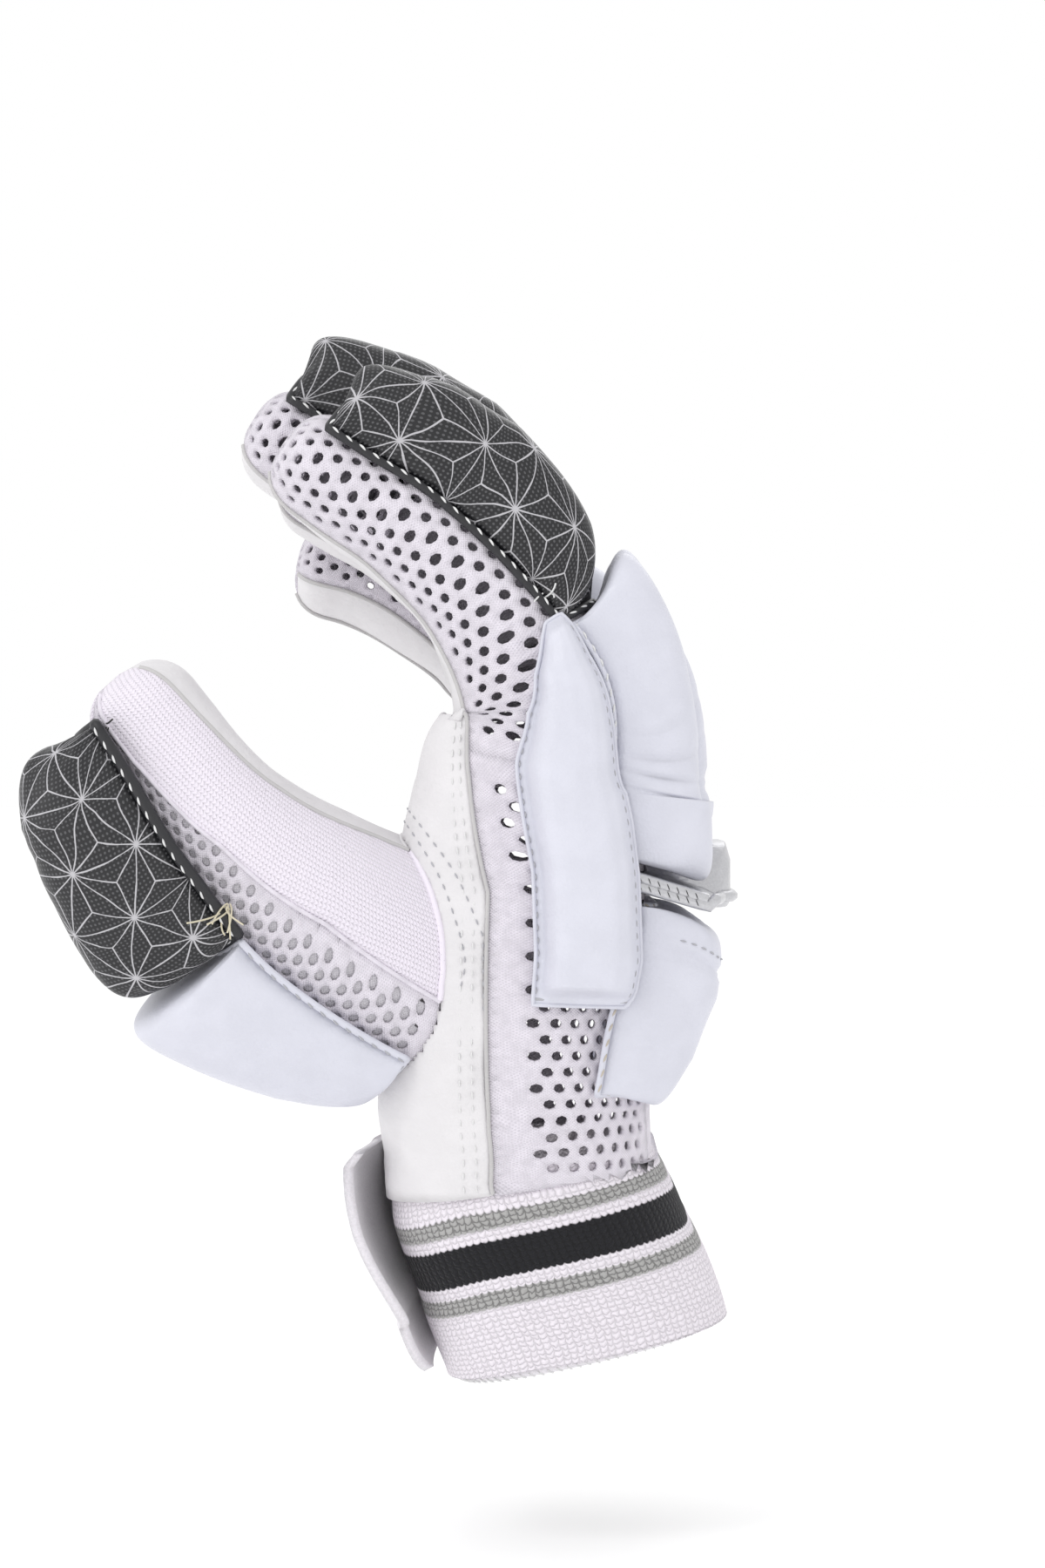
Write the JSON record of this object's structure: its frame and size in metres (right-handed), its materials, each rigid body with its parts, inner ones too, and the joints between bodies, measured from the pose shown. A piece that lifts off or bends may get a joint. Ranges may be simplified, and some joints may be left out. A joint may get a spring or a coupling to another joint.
{
  "type": "cricket batting glove",
  "caption": "Right-hand cricket batting glove as worn: padded finger and thumb rolls, mesh and knit panels, leather palm and an elastic cuff with a fold-over strap.",
  "frame": {"origin": "middle of the wrist opening", "axes": "+Z from the wrist towards the fingers, +X towards the back of the hand, +Y towards the little finger"},
  "size_m": [0.1749, 0.1326, 0.2623],
  "materials": {
    "white_leather": "smooth grained white cover over padding",
    "palm_leather": "soft fine-grained pale leather",
    "black_print": "black grained cover printed with a fine dot grid and pale star lines",
    "air_mesh": "pale knitted mesh with round holes",
    "ribbed_knit": "fine ribbed stretch knit",
    "cuff_knit": "elastic knit cuff with two grey bands and one black band",
    "loop_cloth": "brushed loop face on a pale backing",
    "silver_leather": "silvery cover with rolled piping"
  },
  "bodies": {
    "root": {"index_palm_strip": "palm_leather", "index_sleeve": "air_mesh", "index_cap_pad": "black_print", "index_roll_pad": "white_leather", "index_back_pad": "white_leather", "middle_palm_strip": "palm_leather", "middle_sleeve": "air_mesh", "middle_cap_pad": "black_print", "middle_roll_pad": "white_leather", "middle_back_pad": "white_leather", "ring_palm_strip": "palm_leather", "ring_sleeve": "air_mesh", "ring_cap_pad": "black_print", "ring_roll_pad": "white_leather", "ring_back_pad": "white_leather", "little_palm_strip": "palm_leather", "little_sleeve": "air_mesh", "little_cap_pad": "black_print", "little_roll_pad": "white_leather", "little_back_pad": "white_leather", "wristband": "cuff_knit", "wrist_strap": "loop_cloth", "palm_leather": "palm_leather", "radial_mesh": "air_mesh", "ulnar_mesh": "air_mesh", "back_cloth": "air_mesh", "side_bar_pad": "white_leather", "knuckle_bridge": "silver_leather", "thumb_palm_leather": "palm_leather", "thumb_knit_panel": "ribbed_knit", "thumb_mesh_panel": "air_mesh", "thumb_far_panel": "ribbed_knit", "thumb_cap_pad": "black_print", "thumb_lower_pad": "white_leather"}
  },
  "joints": []
}
